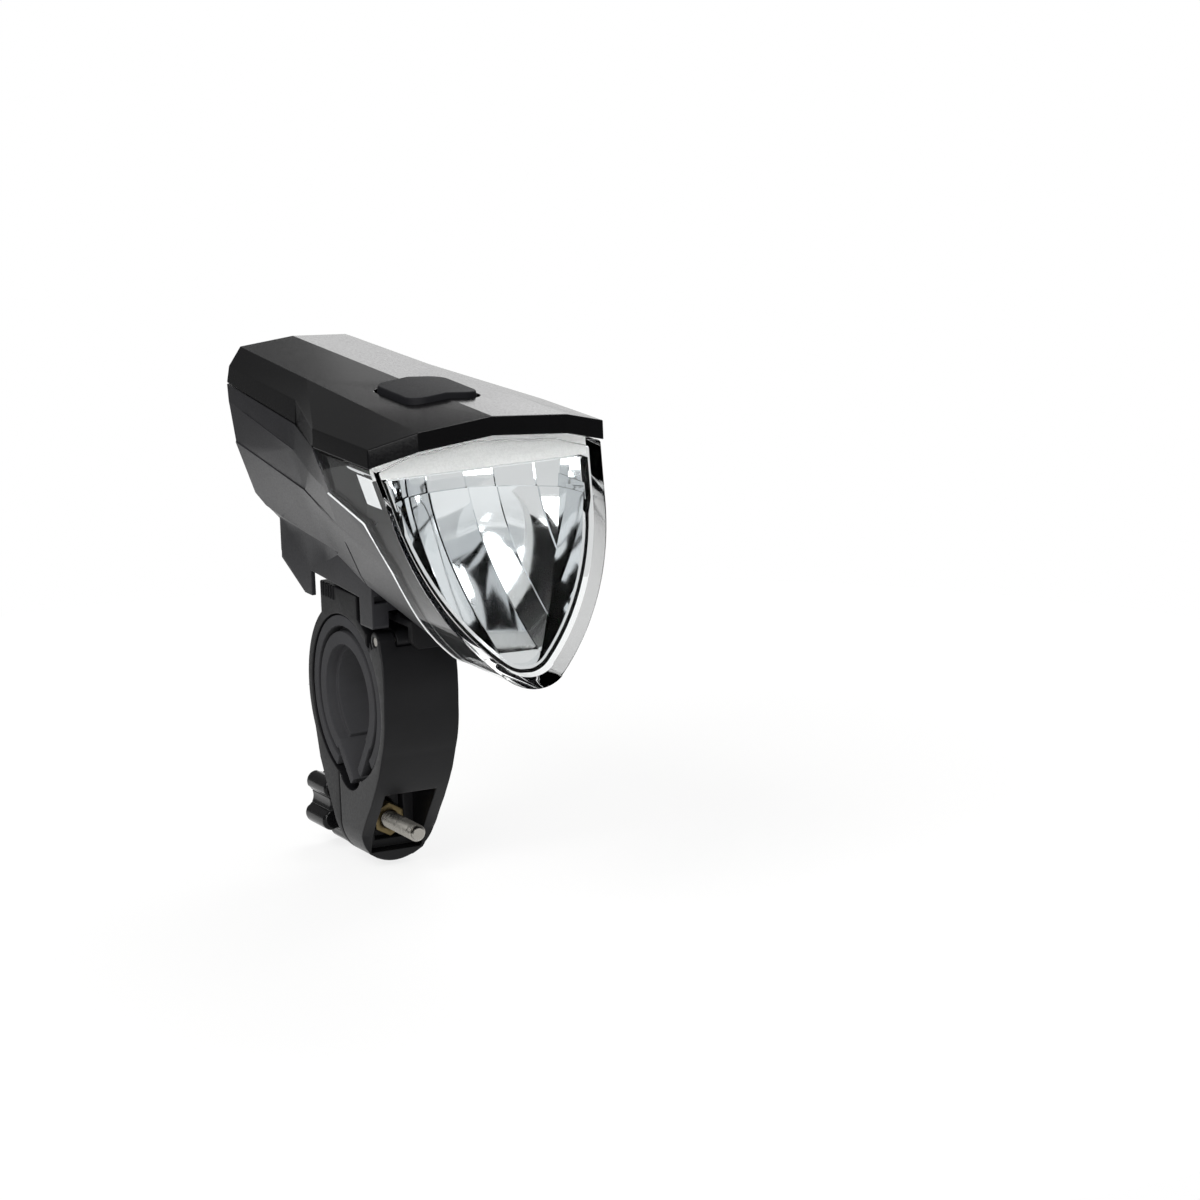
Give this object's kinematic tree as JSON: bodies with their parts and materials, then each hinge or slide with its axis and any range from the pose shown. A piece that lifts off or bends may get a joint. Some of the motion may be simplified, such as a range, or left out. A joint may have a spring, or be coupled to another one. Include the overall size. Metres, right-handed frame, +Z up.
{
  "type": "bicycle battery headlight",
  "caption": "Battery headlight with a faceted body, hooded shield-shaped lens and push button, on a slide-off bracket with a hinged knob clamp for the handlebar.",
  "frame": {"origin": "on the handlebar axis at the middle of the clamp", "axes": "+X along the handlebar, -Y the way the light shines, +Z up"},
  "size_m": [0.0562, 0.1281, 0.1156],
  "materials": {
    "cover_plastic": "satin",
    "body_plastic": "fine texture",
    "bracket_plastic": "satin",
    "knob_plastic": "gloss",
    "liner_rubber": "matt",
    "button_rubber": "matt",
    "lens_clear": "polished",
    "reflector_chrome": "mirror",
    "brow_white": "gloss",
    "steel": "plated",
    "yellow_zinc": "plated",
    "board_aluminium": "satin",
    "board_green": "solder mask",
    "chip_black": "moulded",
    "emitter_yellow": "phosphor",
    "cell_jacket": "printed film"
  },
  "bodies": {
    "bracket": {"bracket": "bracket_plastic", "hinge_pin": "steel", "outer_liner": "liner_rubber", "inner_liner": "liner_rubber"},
    "front_jaw": {"front_jaw": "bracket_plastic"},
    "clamp_knob": {"clamp_knob": "knob_plastic", "clamp_screw": "steel", "knob_washer": "steel"},
    "clamp_nut": {"clamp_nut": "yellow_zinc"},
    "release_latch": {"release_latch": "bracket_plastic"},
    "lamp": {"lower_housing": "body_plastic", "lens": "lens_clear", "reflector": "reflector_chrome", "brow_panel": "brow_white", "led_board": "board_aluminium", "led_emitter": "emitter_yellow", "heat_sink": "board_aluminium", "control_board": "board_green", "driver_parts": "chip_black", "tact_switch": "chip_black", "board_screws": "steel", "battery_cells": "cell_jacket", "contact_plates": "yellow_zinc", "contact_springs": "steel"},
    "cover": {"top_cover": "cover_plastic"},
    "power_button": {"power_button": "button_rubber"}
  },
  "joints": [
    {"name": "knob_turn", "type": "hinge", "parent": "bracket", "child": "clamp_knob", "pos_m": [0, 0.016, -0.0296], "axis": [0, 1, 0], "range_deg": [0, 1800]},
    {"name": "nut_travel", "type": "slide", "parent": "bracket", "child": "clamp_nut", "axis": [0, -1, 0], "range_m": [0, 0.0035]},
    {"name": "jaw_open", "type": "hinge", "parent": "bracket", "child": "front_jaw", "pos_m": [0, -0.018, 0.0163], "axis": [-1, 0, 0], "range_deg": [0, 3.83]},
    {"name": "latch_press", "type": "hinge", "parent": "bracket", "child": "release_latch", "pos_m": [0, -0.0096, 0.0215], "axis": [1, 0, 0], "range_deg": [0, 6], "stiffness_Nm_per_rad": 0.6},
    {"name": "lamp_slide", "type": "slide", "parent": "bracket", "child": "lamp", "axis": [0, -1, 0], "range_m": [0, 0.045]},
    {"name": "cover_lift", "type": "slide", "parent": "lamp", "child": "cover", "axis": [0, 0, 1], "range_m": [0, 0.03]},
    {"name": "button_press", "type": "slide", "parent": "cover", "child": "power_button", "axis": [0, 0, -1], "range_m": [0, 0.0006], "stiffness_N_per_m": 3300}
  ],
  "couplings": [
    {"joint": "nut_travel", "follows": "knob_turn", "m_per_rad": 0.00011141},
    {"joint": "jaw_open", "follows": "knob_turn", "ratio": 0.0021221}
  ]
}
